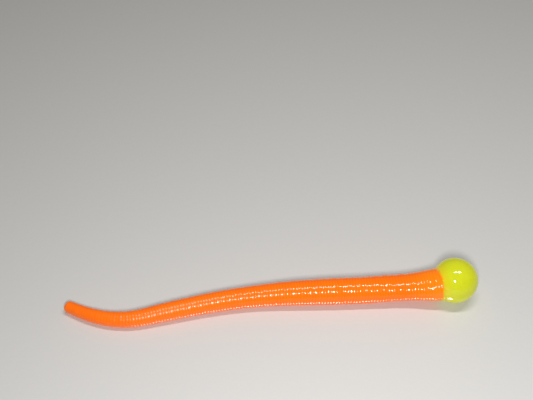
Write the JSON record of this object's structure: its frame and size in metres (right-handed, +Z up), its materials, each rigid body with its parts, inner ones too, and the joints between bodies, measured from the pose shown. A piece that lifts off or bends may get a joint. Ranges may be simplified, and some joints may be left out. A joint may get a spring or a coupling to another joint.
{
  "type": "soft plastic worm",
  "caption": "Soft plastic fishing worm: a round ball head fused to a long, finely ringed body that tapers to a blunt tail and bends anywhere along its length.",
  "frame": {"origin": "on the floor, under the middle of the bounding box of the worm as it lies", "axes": "+X along the worm from its tail to its ball head, +Y to its left seen from above, +Z up"},
  "size_m": [0.0738, 0.0122, 0.0081],
  "materials": {
    "head_plastic": "glossy, slightly translucent chartreuse soft plastic",
    "body_plastic": "glossy fluorescent orange soft plastic, finely ringed"
  },
  "bodies": {
    "head": {"head": "head_plastic", "neck": "body_plastic"},
    "segment_01": {"body_segment_01": "body_plastic"},
    "segment_02": {"body_segment_02": "body_plastic"},
    "segment_03": {"body_segment_03": "body_plastic"},
    "segment_04": {"body_segment_04": "body_plastic"},
    "segment_05": {"body_segment_05": "body_plastic"},
    "segment_06": {"body_segment_06": "body_plastic"},
    "segment_07": {"body_segment_07": "body_plastic"},
    "segment_08": {"body_segment_08": "body_plastic"},
    "segment_09": {"body_segment_09": "body_plastic"},
    "segment_10": {"body_segment_10": "body_plastic"},
    "segment_11": {"body_segment_11": "body_plastic"},
    "segment_12": {"body_segment_12": "body_plastic"},
    "segment_13": {"body_segment_13": "body_plastic"},
    "segment_14": {"body_segment_14": "body_plastic"},
    "tail": {"tail_tip": "body_plastic"}
  },
  "joints": [
    {"name": "flex_01_side", "type": "hinge", "parent": "head", "child": "segment_01", "pos_m": [0.02533, 0.00156, 0.00287], "axis": [-0.0658, -0.0021, 0.9978], "range_deg": [-25, 25], "stiffness_Nm_per_rad": 0.000343},
    {"name": "flex_02_lift", "type": "hinge", "parent": "segment_01", "child": "segment_02", "pos_m": [0.02118, 0.00143, 0.00259], "axis": [-0.0709, 0.9975, 0], "range_deg": [-25, 25], "stiffness_Nm_per_rad": 0.000318},
    {"name": "flex_03_side", "type": "hinge", "parent": "segment_02", "child": "segment_03", "pos_m": [0.01703, 0.00113, 0.00243], "axis": [-0.006, -0.0003, 1], "range_deg": [-25, 25], "stiffness_Nm_per_rad": 0.000318},
    {"name": "flex_04_lift", "type": "hinge", "parent": "segment_03", "child": "segment_04", "pos_m": [0.01288, 0.00091, 0.00241], "axis": [-0.0362, 0.9993, 0], "range_deg": [-25, 25], "stiffness_Nm_per_rad": 0.000314},
    {"name": "flex_05_side", "type": "hinge", "parent": "segment_04", "child": "segment_05", "pos_m": [0.00872, 0.00076, 0.00236], "axis": [-0.0222, -0.0009, 0.9998], "range_deg": [-25, 25], "stiffness_Nm_per_rad": 0.000285},
    {"name": "flex_06_lift", "type": "hinge", "parent": "segment_05", "child": "segment_06", "pos_m": [0.00457, 0.00059, 0.00227], "axis": [-0.0563, 0.9984, 0], "range_deg": [-25, 25], "stiffness_Nm_per_rad": 0.000247},
    {"name": "flex_07_side", "type": "hinge", "parent": "segment_06", "child": "segment_07", "pos_m": [0.00042, 0.00036, 0.00211], "axis": [-0.0368, -0.0036, 0.9993], "range_deg": [-25, 25], "stiffness_Nm_per_rad": 0.000187},
    {"name": "flex_08_lift", "type": "hinge", "parent": "segment_07", "child": "segment_08", "pos_m": [-0.00372, -0.00006, 0.00196], "axis": [-0.1533, 0.9882, 0], "range_deg": [-25, 25], "stiffness_Nm_per_rad": 0.000139},
    {"name": "flex_09_side", "type": "hinge", "parent": "segment_08", "child": "segment_09", "pos_m": [-0.00783, -0.00069, 0.00186], "axis": [-0.0157, -0.0033, 0.9999], "range_deg": [-25, 25], "stiffness_Nm_per_rad": 0.000117},
    {"name": "flex_10_lift", "type": "hinge", "parent": "segment_09", "child": "segment_10", "pos_m": [-0.0119, -0.00155, 0.00179], "axis": [-0.2447, 0.9696, 0], "range_deg": [-25, 25], "stiffness_Nm_per_rad": 0.0000982},
    {"name": "flex_11_side", "type": "hinge", "parent": "segment_10", "child": "segment_11", "pos_m": [-0.01593, -0.00256, 0.00173], "axis": [-0.0196, -0.0052, 0.9998], "range_deg": [-25, 25], "stiffness_Nm_per_rad": 0.0000827},
    {"name": "flex_12_lift", "type": "hinge", "parent": "segment_11", "child": "segment_12", "pos_m": [-0.01995, -0.00364, 0.00164], "axis": [-0.2342, 0.9722, 0], "range_deg": [-25, 25], "stiffness_Nm_per_rad": 0.0000686},
    {"name": "flex_13_side", "type": "hinge", "parent": "segment_12", "child": "segment_13", "pos_m": [-0.02399, -0.00461, 0.0015], "axis": [-0.0321, 0.0001, 0.9995], "range_deg": [-25, 25], "stiffness_Nm_per_rad": 0.0000475},
    {"name": "flex_14_lift", "type": "hinge", "parent": "segment_13", "child": "segment_14", "pos_m": [-0.02813, -0.0046, 0.00136], "axis": [0.2574, 0.9663, 0], "range_deg": [-25, 25], "stiffness_Nm_per_rad": 0.0000327},
    {"name": "flex_15_side", "type": "hinge", "parent": "segment_14", "child": "tail", "pos_m": [-0.03214, -0.00353, 0.00124], "axis": [-0.0404, 0.0194, 0.999], "range_deg": [-25, 25], "stiffness_Nm_per_rad": 0.0000218}
  ]
}
